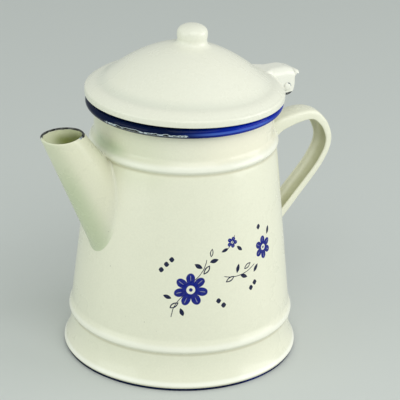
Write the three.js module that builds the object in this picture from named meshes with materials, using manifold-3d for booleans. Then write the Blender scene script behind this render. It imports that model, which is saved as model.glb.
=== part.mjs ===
// Enamelled steel coffee pot: a conical body with two pressed beads, a straight tapered spout,
// a channel strap handle and a domed lid on a pin hinge at the handle side.
// Millimetres and degrees. The origin is on the pot's axis in the plane that it stands on,
// +Z up, the spout towards -X, the handle and the hinge towards +X.

import * as THREE from 'three'
import { mergeVertices } from 'three/addons/utils/BufferGeometryUtils.js'
import Module from 'manifold-3d'

const wasm = await Module()
wasm.setup()

// Sheet and fits
const sheet = 1.1            // enamelled sheet of the body, spout and lid
const strapSheet = 1.3       // sheet of the handle and the hinge leaves
const gap = 0.3              // left between pieces that touch
const overrun = 4            // how far a cutting shape runs past what it cuts
const roundSteps = 56        // facets round the pot
const smallSteps = 24        // facets round the knob
const spoutSteps = 32
const pinSteps = 12          // facets round pins and rivets
const wireSteps = 6
const drillSteps = 8         // facets round a strainer hole

// Foot and bottom
const footRadius = 70.5      // widest radius, just above the seam
const footHeight = 3.0       // height of that widest line
const footTuck = 0.9         // how far the wall turns in below it
const seamHeight = 1.4       // blue seam that shows under the wall
const seamTuck = 0.3         // how far the seam stands in from the wall's lower edge
const seamWidth = 4.6        // flat ring that the pot stands on
const seamCorner = 0.35
const panelRecess = 1.0      // the bottom panel clears the table by this

// Body wall, outer face
const lowerBeadRadius = 67.4
const lowerBeadHeight = 24.4
const lowerBeadFade = 6.8    // height over which the bead runs out into the wall above it
const upperBeadRadius = 55.8
const upperBeadDrop = 23.4    // its crown, below the middle of the rolled rim
const upperBeadFade = 6.4
const beadStep = 1.2         // depth of the step below each bead
const beadStepHeight = 3.0
const coneFootRadius = 65.5  // wall just above the lower bead
const coneTopRadius = 55.4   // wall just below the upper bead
const coneTopDrop = 6.8      // from the upper bead down to the cone's top
const neckRadius = 52.9

// Rolled rim
const rimHeight = 155.6      // centre of the roll
const wireRadius = 1.7       // wire inside the roll

// Spout, leaning out from the pot's axis
const mouthReach = 83.4      // centre of the spout's mouth from the pot's axis
const mouthDrop = 6.5         // and below the middle of the rolled rim
const mouthDepth = 11.1      // half the mouth in the plane of the spout, square to its axis
const mouthBreadth = 11.4    // half the mouth across
const spoutLean = 31.8       // degrees from upright
const depthTaper = 7.2       // degrees that each face opens towards the pot
const breadthTaper = 4.3
const mouthTilt = 3          // degrees that the mouth's plane falls outwards
const strainerHole = 2.0     // radius of a strainer hole behind the spout
const strainerRise = 8       // from row to row
const strainerPitch = 7.5    // from hole to hole in a row
const strainerRows = 5

// Handle strap
const handleReach = 106.4    // outermost point of its outer face from the pot's axis
const handleDrop = 20.5      // its level top, below the middle of the rolled rim
const handleFoot = 56.8        // outer face where it meets the wall
const strapWidth = 14
const strapDepth = 4.2       // depth of the channel's sides at the outer bend
const strapRootDepth = 8.8   // depth of its sides at both ends
const strapCorner = 1.4
const strapCrown = 0.5       // bulge of the channel's back
const strapSteps = 30

// Lid
const lidOverhang = 0.6      // beyond the rolled rim
const lidBend = 1.9          // radius of the bend where the lid's edge turns down
const lidSkirt = 2.9         // from the middle of that bend down to the edge
const brimWidth = 9.8        // from the lid's edge in to the crease round the dome
const brimRise = 5.6
const brimCrown = 0.9        // bulge of the brim between the crease and the edge
const brimCrownShare = 0.64  // where on the brim's width it bulges most
const domeRise = 22.3
const domeCurveShare = 1.93  // power of the dome's curve
const lidAjar = 1.1          // degrees: the old lid seats a little high on its spout side
const collarClearance = 1.0
const collarDrop = 10.4      // below the lid's edge
const collarSheet = 1.2

// Knob and its rivet
const knobOffset = 3.7       // the knob stands this far off centre, towards the handle
const knobRadius = 9.0
const knobCap = 5.5          // height of its rounded top
const knobSide = 2.0         // height of its straight side
const knobFlare = 3.2        // spread of its foot
const knobFoot = 3.8         // height of its foot
const knobCorner = 0.6       // lowest bend of its side
const rivetRadius = 2.2
const rivetReach = 6.5       // into the knob
const rivetHead = 4.4
const rivetHeadHeight = 1.8
const rivetSeat = 0.2        // more room for the flat head under the curved lid

// Hinge
const pinReach = 10.3        // pin's centre beyond the rim's edge
const pinDrop = 2.0          // pin's centre below the middle of the rolled rim
const pinRadius = 1.5
const pinHead = 2.5
const pinHeadHeight = 0.9
const knuckleRadius = 3.3
const leafWidth = 16         // across both cheeks
const cheekRadius = 5.3      // round end of a cheek, about the pin
const capRise = 11.7         // top of the hinge cap above the pin
const capFall = 1.6          // its fall towards the back
const thumbReach = 8.0       // thumb lip's tip behind the pin
const thumbFall = 1.2
const capFront = 18.5        // front edge of the cap before the pin
const bracketFoot = 7.5      // height of the bracket's pad on the neck
const bracketDrop = 6.2      // top of that pad below the pin
const bracketSheet = 1.6

// Enamel and metal
const cream = { color: 0xe9e7cf, roughness: 0.22, metalness: 0 }
const innerCream = { color: 0xdadcb8, roughness: 0.3, metalness: 0 }
const cobalt = { color: 0x14206e, roughness: 0.2, metalness: 0 }
const bareSteel = { color: 0x6d6c66, roughness: 0.5, metalness: 0.9 }

const radians = THREE.MathUtils.degToRad
const { lerp } = THREE.MathUtils

// A closed mesh with shared vertices merged, slivers dropped and its faces turned outwards.
function closedMesh(geometry) {
  geometry.deleteAttribute('normal')
  geometry.deleteAttribute('uv')
  const merged = mergeVertices(geometry)
  const position = merged.getAttribute('position')
  const corner = [new THREE.Vector3(), new THREE.Vector3(), new THREE.Vector3()]
  const faces = []
  let volume = 0
  for (let i = 0; i < merged.index.count; i += 3) {
    const face = [0, 1, 2].map((k) => merged.index.getX(i + k))
    if (new Set(face).size < 3) continue
    corner.forEach((point, k) => point.fromBufferAttribute(position, face[k]))
    volume += corner[0].dot(corner[1].clone().cross(corner[2]))
    faces.push(face)
  }
  const outward = volume > 0 ? faces : faces.map(([a, b, c]) => [a, c, b])
  merged.setIndex(outward.flat())
  return merged
}

function solid(geometry) {
  const mesh = closedMesh(geometry)
  const vertProperties = new Float32Array(mesh.getAttribute('position').array)
  const triVerts = new Uint32Array(mesh.index.array)
  return new wasm.Manifold(new wasm.Mesh({ numProp: 3, vertProperties, triVerts }))
}

function geometryOf(manifold) {
  const { vertProperties, triVerts } = manifold.getMesh()
  const geometry = new THREE.BufferGeometry()
  geometry.setAttribute('position', new THREE.BufferAttribute(vertProperties, 3))
  geometry.setIndex(new THREE.BufferAttribute(triVerts, 1))
  return geometry
}

// A solid turned about +Z from an outline of [radius, height] points.
function turned(outline, steps) {
  const points = outline.map(([radius, height]) => new THREE.Vector2(radius, height))
  return new THREE.LatheGeometry(points, steps).rotateX(Math.PI / 2)
}

function ring(outline, steps) {
  return turned([...outline, outline[0]], steps)
}

// Points on a round arc, from one angle to another in degrees.
function arc([centreX, centreY], radius, from, to, steps) {
  return Array.from({ length: steps + 1 }, (_, i) => {
    const angle = radians(lerp(from, to, i / steps))
    return [centreX + radius * Math.cos(angle), centreY + radius * Math.sin(angle)]
  })
}

// The outline moved sideways by a distance, to the left of its direction.
function offset(outline, distance) {
  return outline.map(([x, y], i) => {
    const before = outline[Math.max(i - 1, 0)]
    const after = outline[Math.min(i + 1, outline.length - 1)]
    const along = new THREE.Vector2(after[0] - before[0], after[1] - before[1]).normalize()
    return [x - along.y * distance, y + along.x * distance]
  })
}

// A flat outline of [x, z] points given a width along Y, centred on y.
function slab(outline, width, y = 0) {
  const shape = new THREE.Shape(outline.map(([x, z]) => new THREE.Vector2(x, z)))
  const geometry = new THREE.ExtrudeGeometry(shape, { depth: width, bevelEnabled: false })
  return geometry.rotateX(Math.PI / 2).translate(0, y + width / 2, 0)
}

// Body wall
const rimRoll = wireRadius + gap + sheet
const rimRadius = neckRadius - sheet + rimRoll
const wallBase = seamHeight + gap
const neckTop = rimHeight - gap
const upperBeadHeight = rimHeight - upperBeadDrop
const mouthHeight = rimHeight - mouthDrop
const coneFootHeight = lowerBeadHeight + lowerBeadFade
const coneTopHeight = upperBeadHeight - coneTopDrop

// The step and the bulge of a bead, then its fade into the wall above.
function bead(radius, height, fadeHeight, wallRadius) {
  const stepShares = [0, 0.3, 0.7, 1]
  const fadeShares = [0.3, 0.62, 1]
  const step = stepShares.map((share) => {
    const left = (1 + Math.cos(share * Math.PI)) / 2
    return [radius - beadStep * left, height - beadStepHeight * (1 - share)]
  })
  const fade = fadeShares.map((share) => {
    const left = (1 + Math.cos(share * Math.PI)) / 2
    return [lerp(wallRadius, radius, left), height + share * fadeHeight]
  })
  return [...step, ...fade]
}

function wallOutline() {
  const flareShares = [0.25, 0.55]
  const flareTop = lowerBeadHeight - beadStepHeight
  const flareRadius = lowerBeadRadius - beadStep
  const flare = flareShares.map((share) => [
    lerp(flareRadius, footRadius, (1 - share) ** 2),
    lerp(footHeight, flareTop, share),
  ])
  return [
    [footRadius - footTuck, wallBase],
    [footRadius, footHeight],
    ...flare,
    ...bead(lowerBeadRadius, lowerBeadHeight, lowerBeadFade, coneFootRadius),
    [coneTopRadius, coneTopHeight],
    ...bead(upperBeadRadius, upperBeadHeight, upperBeadFade, neckRadius),
    [neckRadius, neckTop],
  ]
}

// The pot's outer form as one block, grown by a clearance, to cut what is joined to it.
function bodyBlock(clearance) {
  const grown = wallOutline().map(([radius, height]) => [radius + clearance, height])
  return solid(turned([[0, wallBase], ...grown, [0, neckTop]], roundSteps))
}

const leanSlope = Math.tan(radians(spoutLean))
const coneSlope = (coneFootRadius - coneTopRadius) / (coneTopHeight - coneFootHeight)

// Height at which the spout's axis meets the wall.
const spoutHeight = (coneFootRadius + coneSlope * coneFootHeight + mouthHeight * leanSlope
  - mouthReach) / (leanSlope + coneSlope)

function bodyShell() {
  const outer = wallOutline()
  const inner = offset(outer, sheet)
    .map(([radius, height]) => [radius, THREE.MathUtils.clamp(height, wallBase, neckTop)])
  let shell = solid(ring([...outer, ...inner.reverse()], roundSteps))
  const wallRadius = coneFootRadius - coneSlope * (spoutHeight - coneFootHeight)
  for (let row = 0; row < strainerRows; row += 1) {
    const holes = 2 + row % 2
    const rise = (row - (strainerRows - 1) / 2) * strainerRise
    for (let i = 0; i < holes; i += 1) {
      const across = (i - (holes - 1) / 2) * strainerPitch
      const drill = new THREE.CylinderGeometry(strainerHole, strainerHole, 2 * overrun, drillSteps)
      drill.rotateZ(Math.PI / 2).translate(-wallRadius, across, spoutHeight + rise)
      shell = shell.subtract(solid(drill))
    }
  }
  return geometryOf(shell)
}

function bottomPlate() {
  const seamRadius = footRadius - footTuck - seamTuck
  const ringRadius = seamRadius - seamWidth
  const panelRadius = ringRadius - panelRecess
  return closedMesh(turned([
    [0, panelRecess],
    [panelRadius, panelRecess],
    [ringRadius, 0],
    [seamRadius - seamCorner, 0],
    [seamRadius, seamCorner],
    [seamRadius, seamHeight],
    [ringRadius + sheet, seamHeight],
    [panelRadius, panelRecess + sheet],
    [0, panelRecess + sheet],
  ], roundSteps))
}

// The rolled rim starts on the neck's upper edge, turns out over the wire and back under it.
function mouthRim() {
  const centre = [rimRadius, rimHeight]
  const curlEnd = -THREE.MathUtils.radToDeg(Math.acos((sheet + gap) / rimRoll - 1))
  const outer = arc(centre, rimRoll, 180, curlEnd, 8)
  const inner = arc(centre, rimRoll - sheet, curlEnd, 180, 6)
  return closedMesh(ring([...outer, ...inner], roundSteps))
}

function rimWire() {
  const section = arc([rimRadius, rimHeight], wireRadius, 0, 360, wireSteps).slice(1)
  return closedMesh(ring(section, roundSteps))
}

// Spout: a tube of oval section that opens towards the pot, drawn upright and then leant out.
function spoutForm(inset, above, below) {
  const form = new THREE.CylinderGeometry(1, 1, above + below, spoutSteps)
  form.rotateX(Math.PI / 2).translate(0, 0, (above - below) / 2)
  const position = form.getAttribute('position')
  const depthSlope = Math.tan(radians(depthTaper))
  const breadthSlope = Math.tan(radians(breadthTaper))
  for (let i = 0; i < position.count; i += 1) {
    const along = position.getZ(i)
    position.setX(i, position.getX(i) * (mouthDepth - inset - along * depthSlope))
    position.setY(i, position.getY(i) * (mouthBreadth - inset - along * breadthSlope))
  }
  return form.rotateY(-radians(spoutLean)).translate(-mouthReach, 0, mouthHeight)
}

function spoutTube() {
  const below = (mouthReach - coneTopRadius) / Math.sin(radians(spoutLean)) + 2 * mouthDepth
  const above = mouthDepth
  const tube = solid(spoutForm(0, above, below))
    .subtract(solid(spoutForm(sheet, above + overrun, below + overrun)))
  const block = 4 * mouthDepth
  const waste = new THREE.BoxGeometry(block, block, block).translate(0, 0, block / 2)
  waste.rotateY(-radians(mouthTilt)).translate(-mouthReach, 0, mouthHeight)
  return geometryOf(tube.subtract(solid(waste)).subtract(bodyBlock(gap)))
}

// Handle: a channel whose open side faces the pot, bent along its outer face.
const handleTop = rimHeight - handleDrop

// Shares of the way from the neck out to the reach, and from the foot up to the top.
const handleShares = [
  [-0.03, 0.83], [0.08, 0.92], [0.21, 0.97], [0.36, 0.99], [0.51, 1], [0.65, 0.998],
  [0.77, 0.972], [0.874, 0.908], [0.943, 0.84], [0.996, 0.735], [0.978, 0.632],
  [0.903, 0.537], [0.8, 0.446], [0.55, 0.27], [0.345, 0.125], [0.1, -0.05],
]

function handleStrap() {
  const points = handleShares.map(([out, up]) => new THREE.Vector3(
    lerp(neckRadius, handleReach, out), 0, lerp(handleFoot, handleTop, up)))
  const path = new THREE.CatmullRomCurve3(points, false, 'centripetal')
  const half = strapWidth / 2
  const side = [
    [half, strapDepth],
    [half, strapCorner],
    [half - strapCorner, strapCrown / 2],
  ]
  const inside = [
    [half - strapCorner, strapSheet + strapCrown],
    [half - strapSheet, strapCorner + strapSheet / 2],
    [half - strapSheet, strapDepth],
  ]
  const mirrored = (list) => list.map(([across, depth]) => [-across, depth]).reverse()
  const section = [
    ...side, [0, 0], ...mirrored(side),
    ...mirrored(inside), [0, strapSheet], ...inside,
  ]
  const shape = new THREE.Shape(section.map(([across, depth]) => new THREE.Vector2(across, depth)))
  const unitRun = { depth: 1, steps: strapSteps, bevelEnabled: false }
  const strap = new THREE.ExtrudeGeometry(shape, unitRun)
  const position = strap.getAttribute('position')
  for (let i = 0; i < position.count; i += 1) {
    const share = position.getZ(i)
    const place = path.getPointAt(share)
    const along = path.getTangentAt(share)
    const isLip = position.getY(i) > strapDepth - gap
    const lipDepth = lerp(strapDepth, strapRootDepth, (2 * share - 1) ** 2)
    const depth = isLip ? lipDepth : position.getY(i)
    position.setXYZ(i, place.x + along.z * depth, position.getX(i), place.z - along.x * depth)
  }
  return geometryOf(solid(strap).subtract(bodyBlock(gap)))
}

// Lid, drawn as if it lay level on the rim
const lidRadius = rimRadius + rimRoll + lidOverhang
const lidBendRadius = lidRadius - lidBend
const lidFoot = rimHeight + Math.sqrt(
  (rimRoll + gap) ** 2 - Math.min(lidRadius - sheet - rimRadius, rimRoll) ** 2)
const lidHeight = lidFoot + lidSkirt
const creaseRadius = lidRadius - brimWidth
const creaseHeight = lidHeight + brimRise

function domeHeight(radius) {
  return creaseHeight + domeRise * (1 - (radius / creaseRadius) ** domeCurveShare)
}

const knobBase = domeHeight(knobOffset)

// Outer face of the lid, from its top out over the crease and the brim to the bend at its edge.
function lidTopOutline() {
  const domeShares = [0, 0.16, 0.32, 0.48, 0.64, 0.78, 0.9, 1]
  const brimShares = [0.35, 0.7]
  const dome = domeShares.map((share) => [
    share * creaseRadius, domeHeight(share * creaseRadius),
  ])
  const edge = arc([lidBendRadius, lidHeight], lidBend, 70, 70, 1)[0]
  const crown = [lerp(creaseRadius, edge[0], brimCrownShare), creaseHeight - brimCrown]
  const brim = new THREE.QuadraticBezierCurve(
    new THREE.Vector2(creaseRadius, creaseHeight),
    new THREE.Vector2(...crown),
    new THREE.Vector2(...edge))
  return [...dome, ...brimShares.map((share) => brim.getPoint(share).toArray())]
}

function lidBlock(clearance) {
  const outer = offset(lidTopOutline(), clearance)
  outer[0][0] = 0
  const bend = arc([lidBendRadius, lidHeight], lidBend + clearance, 70, 0, 4)
  const foot = lidFoot - clearance
  const edge = [...bend, [lidRadius + clearance, foot], [0, foot]]
  return solid(turned([...outer, ...edge], roundSteps))
}

function underLid(clearance) {
  const inner = offset(lidTopOutline(), -sheet - clearance)
  inner[0][0] = 0
  const last = inner[inner.length - 1]
  const floor = lidHeight - collarDrop
  return solid(turned([...inner, [last[0], floor], [0, floor]], roundSteps))
}

function lidShell() {
  const top = lidTopOutline()
  const inner = offset(top, -sheet)
  inner[0][0] = 0
  const centre = [lidBendRadius, lidHeight]
  const edge = [
    ...arc(centre, lidBend, 70, 0, 4),
    [lidRadius, lidFoot],
    [lidRadius - sheet, lidFoot],
    ...arc(centre, lidBend - sheet, 0, 70, 3),
  ]
  const shell = solid(turned([...top, ...edge, ...inner.reverse()], roundSteps))
  const boreRadius = rivetRadius + gap
  const bore = new THREE.CylinderGeometry(boreRadius, boreRadius, 2 * overrun, pinSteps)
  bore.rotateX(Math.PI / 2).translate(knobOffset, 0, knobBase)
  return geometryOf(shell.subtract(solid(bore)))
}

// The collar drops inside the neck and keeps the lid in its place.
function lidCollar() {
  const radius = neckRadius - sheet - collarClearance
  const outline = [
    [radius, creaseHeight],
    [radius, lidHeight - collarDrop + collarSheet],
    [radius - collarSheet / 2, lidHeight - collarDrop],
    [radius - collarSheet, lidHeight - collarDrop],
    [radius - collarSheet, creaseHeight],
  ]
  return geometryOf(solid(ring(outline, roundSteps)).intersect(underLid(gap)))
}

function lidKnob() {
  const sideBase = knobBase + knobFoot
  const capBase = sideBase + knobSide
  const boreRadius = rivetRadius + gap
  const boreTop = knobBase + rivetReach + gap
  const footShares = [[1.2, -0.7], [0.5, -0.08], [0.12, 0.25], [-0.12, 0.6], [-0.18, 0.9]]
  const capTurns = [0, 22, 45, 68]
  const outline = [
    [0, boreTop],
    [boreRadius, boreTop],
    [boreRadius, knobBase + footShares[0][1] * knobFoot],
    ...footShares.map(([out, up]) => [knobRadius + out * knobFlare, knobBase + up * knobFoot]),
    [knobRadius, sideBase + knobCorner],
    ...capTurns.map((turn) => [
      knobRadius * Math.cos(radians(turn)), capBase + knobCap * Math.sin(radians(turn)),
    ]),
    [0, capBase + knobCap],
  ]
  const knob = solid(turned(outline, smallSteps).translate(knobOffset, 0, 0))
  return geometryOf(knob.subtract(lidBlock(gap)))
}

function knobRivet() {
  const headTop = domeHeight(knobOffset + rivetHead) - sheet - gap - rivetSeat
  return closedMesh(turned([
    [0, headTop - rivetHeadHeight],
    [rivetHead / 2, headTop - rivetHeadHeight],
    [rivetHead, headTop - rivetHeadHeight / 2],
    [rivetHead, headTop],
    [rivetRadius, headTop],
    [rivetRadius, knobBase + rivetReach],
    [0, knobBase + rivetReach],
  ], pinSteps).translate(knobOffset, 0, 0))
}

// Hinge
const pin = [rimRadius + rimRoll + pinReach, rimHeight - pinDrop]
const leafGap = leafWidth / 2 - strapSheet - gap

function hingePin() {
  const half = leafWidth / 2 + gap
  const head = half + pinHeadHeight
  return closedMesh(turned([
    [0, -head], [pinHead, -head], [pinHead, -half], [pinRadius, -half],
    [pinRadius, half], [pinHead, half], [pinHead, head], [0, head],
  ], pinSteps).rotateX(Math.PI / 2).translate(pin[0], 0, pin[1]))
}

// The bracket is welded to the neck under the rim, and its knuckle holds the pin.
function hingeBracket() {
  const [x, z] = pin
  const padTop = z - bracketDrop
  const padFace = neckRadius + gap + bracketSheet
  const leg = [
    [neckRadius - overrun, padTop - bracketFoot],
    [padFace, padTop - bracketFoot],
    [padFace, padTop - bracketSheet],
    [x, z - knuckleRadius],
    [x, z - knuckleRadius + bracketSheet],
    [x - knuckleRadius, z - knuckleRadius + bracketSheet],
    [padFace, padTop + bracketSheet / 2],
    [neckRadius - overrun, padTop + bracketSheet / 2],
  ]
  const width = 2 * leafGap
  const knuckle = arc(pin, knuckleRadius, 0, 360, pinSteps + 4).slice(1)
  const bore = arc(pin, pinRadius + gap, 0, 360, pinSteps).slice(1)
  const bracket = solid(slab(leg, width)).add(solid(slab(knuckle, width)))
  return geometryOf(bracket
    .subtract(solid(slab(bore, width + overrun)))
    .subtract(bodyBlock(gap)))
}

// The hinge cap is folded down into two cheeks and ends in a thumb lip over the handle.
function hingeCap() {
  const [x, z] = pin
  const top = z + capRise
  const front = x - capFront
  const back = x + cheekRadius
  const lip = x + thumbReach
  const outer = [
    [front, top],
    [x, top],
    [back, top - capFall],
    [lip, top - capFall - thumbFall],
  ]
  const inner = offset(outer, -strapSheet)
  const plate = slab([...outer, ...inner.reverse()], leafWidth)
  const cheek = [
    [front, top - strapSheet / 2],
    [x, top - strapSheet / 2],
    [back, top - capFall - strapSheet / 2],
    ...arc(pin, cheekRadius, 0, -130, 6),
    [lidRadius + 2 * gap, lidHeight - lidBend],
    [front, lidHeight],
  ]
  const side = leafWidth / 2 - strapSheet / 2
  let cap = solid(plate)
  for (const y of [-side, side]) {
    cap = cap.add(solid(slab(cheek, strapSheet, y)))
  }
  const bore = arc(pin, pinRadius + gap, 0, 360, pinSteps).slice(1)
  return geometryOf(cap
    .subtract(solid(slab(bore, leafWidth + overrun)))
    .subtract(lidBlock(gap)))
}

function piece(name, geometry, finish) {
  const mesh = new THREE.Mesh(geometry, new THREE.MeshStandardMaterial(finish))
  mesh.name = name
  return mesh
}

const pot = new THREE.Group()
pot.add(
  piece('body_shell', bodyShell(), cream),
  piece('bottom_plate', bottomPlate(), cobalt),
  piece('mouth_rim', mouthRim(), cobalt),
  piece('rim_wire', rimWire(), bareSteel),
  piece('spout_tube', spoutTube(), cream),
  piece('handle_strap', handleStrap(), cream),
  piece('hinge_bracket', hingeBracket(), cream),
  piece('hinge_pin', hingePin(), cream),
)

// The lid's pieces turn together about the pin.
const lid = new THREE.Group()
lid.position.set(pin[0], 0, pin[1])
lid.rotation.y = radians(lidAjar)
const lidPieces = [
  piece('lid_shell', lidShell(), cream),
  piece('lid_collar', lidCollar(), innerCream),
  piece('lid_knob', lidKnob(), cream),
  piece('knob_rivet', knobRivet(), bareSteel),
  piece('hinge_cap', hingeCap(), cream),
]
for (const part of lidPieces) {
  part.position.set(-pin[0], 0, -pin[1])
  lid.add(part)
}

const coffeePot = new THREE.Group()
coffeePot.add(pot, lid)

export default coffeePot
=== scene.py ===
"""An old enamelled steel coffee pot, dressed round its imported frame.

Metres, +Z up. The spout points to -X, the handle and the lid's hinge to +X.
"""

from functools import reduce
from math import cos, hypot, pi, radians, sin, sqrt, tan

import bmesh
import bpy
from mathutils import Matrix, Quaternion, Vector


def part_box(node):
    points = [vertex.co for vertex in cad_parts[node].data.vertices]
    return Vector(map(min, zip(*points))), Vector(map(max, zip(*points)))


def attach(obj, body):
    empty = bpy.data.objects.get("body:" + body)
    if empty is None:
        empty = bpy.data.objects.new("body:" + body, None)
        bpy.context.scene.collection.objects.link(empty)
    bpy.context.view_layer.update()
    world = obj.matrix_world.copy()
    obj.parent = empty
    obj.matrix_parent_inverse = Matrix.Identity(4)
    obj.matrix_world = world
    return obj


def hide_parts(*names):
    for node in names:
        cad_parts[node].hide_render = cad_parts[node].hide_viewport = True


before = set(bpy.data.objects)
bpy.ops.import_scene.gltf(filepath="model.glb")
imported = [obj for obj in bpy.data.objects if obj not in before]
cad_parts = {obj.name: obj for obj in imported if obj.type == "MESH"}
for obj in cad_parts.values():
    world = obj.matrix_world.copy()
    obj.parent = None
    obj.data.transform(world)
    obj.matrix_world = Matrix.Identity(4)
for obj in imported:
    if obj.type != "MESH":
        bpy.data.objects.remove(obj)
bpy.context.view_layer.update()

# Sheet and enamel
SHEET = 0.0011
STRAP_SHEET = 0.0013
EMBED = 0.0003  # how far a joined piece reaches into the wall
ROUND_STEPS = 256
SMALL_STEPS = 96

# Body wall
FOOT_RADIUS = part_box("body_shell")[1].y
FOOT_HEIGHT = 0.003
FOOT_TUCK = 0.0009
FOOT_BEND = 0.0012  # where the foot turns under
FLARE_CURVE = 2.5
WALL_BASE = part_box("body_shell")[0].z
NECK_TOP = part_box("body_shell")[1].z
LOWER_BEAD_RADIUS = 0.0674
LOWER_BEAD_HEIGHT = 0.0246
LOWER_BEAD_FADE = 0.0068
UPPER_BEAD_RADIUS = 0.0558
UPPER_BEAD_HEIGHT = 0.1322
UPPER_BEAD_FADE = 0.0064
BEAD_STEP = 0.0015
BEAD_STEP_HEIGHT = 0.0030
LOWER_BEAD_ROOT = 0.0006  # how far the corner under the bead is softened
UPPER_BEAD_ROOT = 0.0007
CONE_FOOT_RADIUS = 0.0655
CONE_TOP_RADIUS = 0.0554
CONE_TOP_DROP = 0.0068
NECK_RADIUS = 0.0529

# Bottom
SEAM_HEIGHT = 0.0014
SEAM_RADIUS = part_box("bottom_plate")[1].y
SEAM_WIDTH = 0.0046
PANEL_RECESS = 0.001
SEAM_BEND = 0.0005

# Rolled rim
RIM_ROLL = 0.0031
RIM_RADIUS = NECK_RADIUS - SHEET + RIM_ROLL
RIM_HEIGHT = 0.1556
RIM_CURL_END = -127  # degrees, where the roll ends under the wire

# Spout
MOUTH = Vector((-0.0834, 0, 0.1491))
MOUTH_DEPTH = 0.0111
MOUTH_BREADTH = 0.0114
SPOUT_LEAN = radians(31.8)
DEPTH_TAPER = tan(radians(7.2))
BREADTH_TAPER = tan(radians(4.3))
MOUTH_TILT = radians(3)
POUR_DIP = 0.0009  # the lip is bent down a little on its pouring side
POUR_TURN = radians(238)
SPOUT_FILLET = 0.0024
SPOUT_REACH = 0.12  # longer than the spout
SPOUT_LOW = 0.05  # lower than where its axis meets the wall
STRAINER_HOLE = 0.002
STRAINER_RISE = 0.008
STRAINER_PITCH = 0.0075
STRAINER_ROWS = 5
STRAINER_DRILL = 8 * SHEET

# Handle strap
HANDLE_REACH = 0.1064
HANDLE_TOP = 0.1351
HANDLE_FOOT = 0.0568
STRAP_WIDTH = 0.014
STRAP_DEPTH = 0.0055
STRAP_TOP_DEPTH = 0.0108  # depth of the channel's sides where it meets the neck
STRAP_FOOT_DEPTH = 0.0068  # and where it meets the wall below
STRAP_CROWN = 0.0007
STRAP_CORNER = 0.0015
HANDLE_FILLET = 0.0022
HANDLE_FLARE = 0.55  # share of the fillet that the strap grows by at the wall

# Lid
LID_OVERHANG = 0.0006  # how far its edge stands out past the rim
LID_RADIUS = RIM_RADIUS + RIM_ROLL + LID_OVERHANG
LID_BEND = 0.0019  # radius of the bend where the edge turns down
LID_SKIRT = 0.0029  # from the middle of that bend down to the edge
LID_HEIGHT = 0.16069
BRIM_WIDTH = 0.0098
BRIM_RISE = 0.0056
BRIM_CROWN = 0.0009
BRIM_FULLNESS = 0.64  # place of the crown, from the crease to the edge
CREASE_BEND = 0.0042
DOME_RISE = 0.0223
DOME_CURVE = 1.93
LID_AJAR = radians(1.1)
COLLAR_CLEARANCE = 0.001
COLLAR_DROP = 0.0104
COLLAR_SHEET = 0.0012
COLLAR_LEAD = 0.0008  # its foot is drawn in to find the neck

# Knob and its rivet
KNOB_OFFSET = 0.0037
KNOB_RADIUS = 0.0090
KNOB_CAP = 0.0055
KNOB_SIDE = 0.0020
KNOB_FULLNESS = 0.88  # 1 is a round cap, less is a squarer one
KNOB_PINCH = 0.0003  # its neck is this much slimmer than its head
KNOB_FOOT = 0.0038
KNOB_FILLET = 0.0034  # radius of the fillet that runs out onto the dome
RIVET_RADIUS = 0.0022
RIVET_HEAD = 0.0044
RIVET_HEAD_HEIGHT = 0.0018
RIVET_DROP = 0.0005  # the flat head lies this far below the curved lid
RIVET_REACH = 0.008

# Hinge
PIN = Vector((0.0683, 0, 0.1536))
PIN_RADIUS = 0.0015
PIN_HEAD = 0.0025
PIN_HEAD_HEIGHT = 0.0009
PIN_PLAY = 0.0003  # between the cheeks and its heads
LEAF_WIDTH = 0.016
CHEEK_RADIUS = 0.0053
CAP_RISE = 0.0117
CAP_FALL = 0.0016
THUMB_REACH = 0.008
THUMB_FALL = 0.0012
CAP_FRONT = 0.0185
CAP_BEND = 0.0022
CAP_FOLD = 0.0046
CAP_LEAST_FOLD = 0.0002
THUMB_FOLD = 0.42  # share of the fold that the thumb lip keeps at its tip
CHEEK_FLARE = 0.0018  # how far the cheeks run out onto the lid

# Camera
CAMERA_TARGET = Vector((0, 0, 0.085))
CAMERA_AZIMUTH = radians(-33.6)
CAMERA_ELEVATION = radians(23.49)
CAMERA_DISTANCE = 1.198
CAMERA_LENS = 180.4
CAMERA_SENSOR = 36
CAMERA_ROLL = radians(1.28)
CAMERA_SHIFT = (0.045, 0.025)

# Lamps: place, size, watts and tint
LAMPS = {
    "front_box": ((-0.4, -1.2, 1.5), (1.6, 1.0), 12.6, (1, 1, 1)),
    "right_box": ((1.13, -0.95, 0.43), (1.2, 0.8), 9.4, (1, 1, 1)),
    "left_box": ((-1.48, 0.13, 0.43), (1.2, 0.8), 5.5, (0.94, 1, 0.95)),
}
LAMP_AIM = Vector((0, 0, 0.09))
AIR = (0.80, 0.84, 0.82)
AIR_STRENGTH = 0.67
FLOOR = (0.60, 0.63, 0.61)
FLOOR_SIZE = 6

# Enamel colours, linear
CREAM = (0.79, 0.79, 0.635)
CREAM_WARM = (0.82, 0.81, 0.66)
CREAM_GREEN = (0.66, 0.70, 0.48)
LID_CREAM = (0.82, 0.82, 0.70)
LID_SHADE = (0.62, 0.66, 0.56)
HINGE_CREAM = (0.85, 0.85, 0.76)
# painted light on the neck, where the lid shades it
NECK_PAINTED_LIGHT = (0.90, 0.865, 0.69)
# a painted highlight, on the bead crowns and along the foot's edge
PAINTED_HIGHLIGHT = (0.95, 0.95, 0.86)
PATCH_GREEN = (0.56, 0.66, 0.45)
SPOUT_CREAM = (0.76, 0.76, 0.575)
# painted shade with a green reflection, on the spout's outer flank
FLANK_SHADE_GREEN = (0.53, 0.61, 0.39)
# painted light: brighter than the outer cream, on the spout's inner face
INNER_PAINTED_LIGHT = (0.92, 0.95, 0.70)
COBALT = (0.0002, 0.013, 0.31)
# painted shade: the blue nearly black round the spout's side
COBALT_SHADE = (0.001, 0.006, 0.035)
COBALT_LIGHT = (0.0006, 0.032, 0.36)
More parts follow.
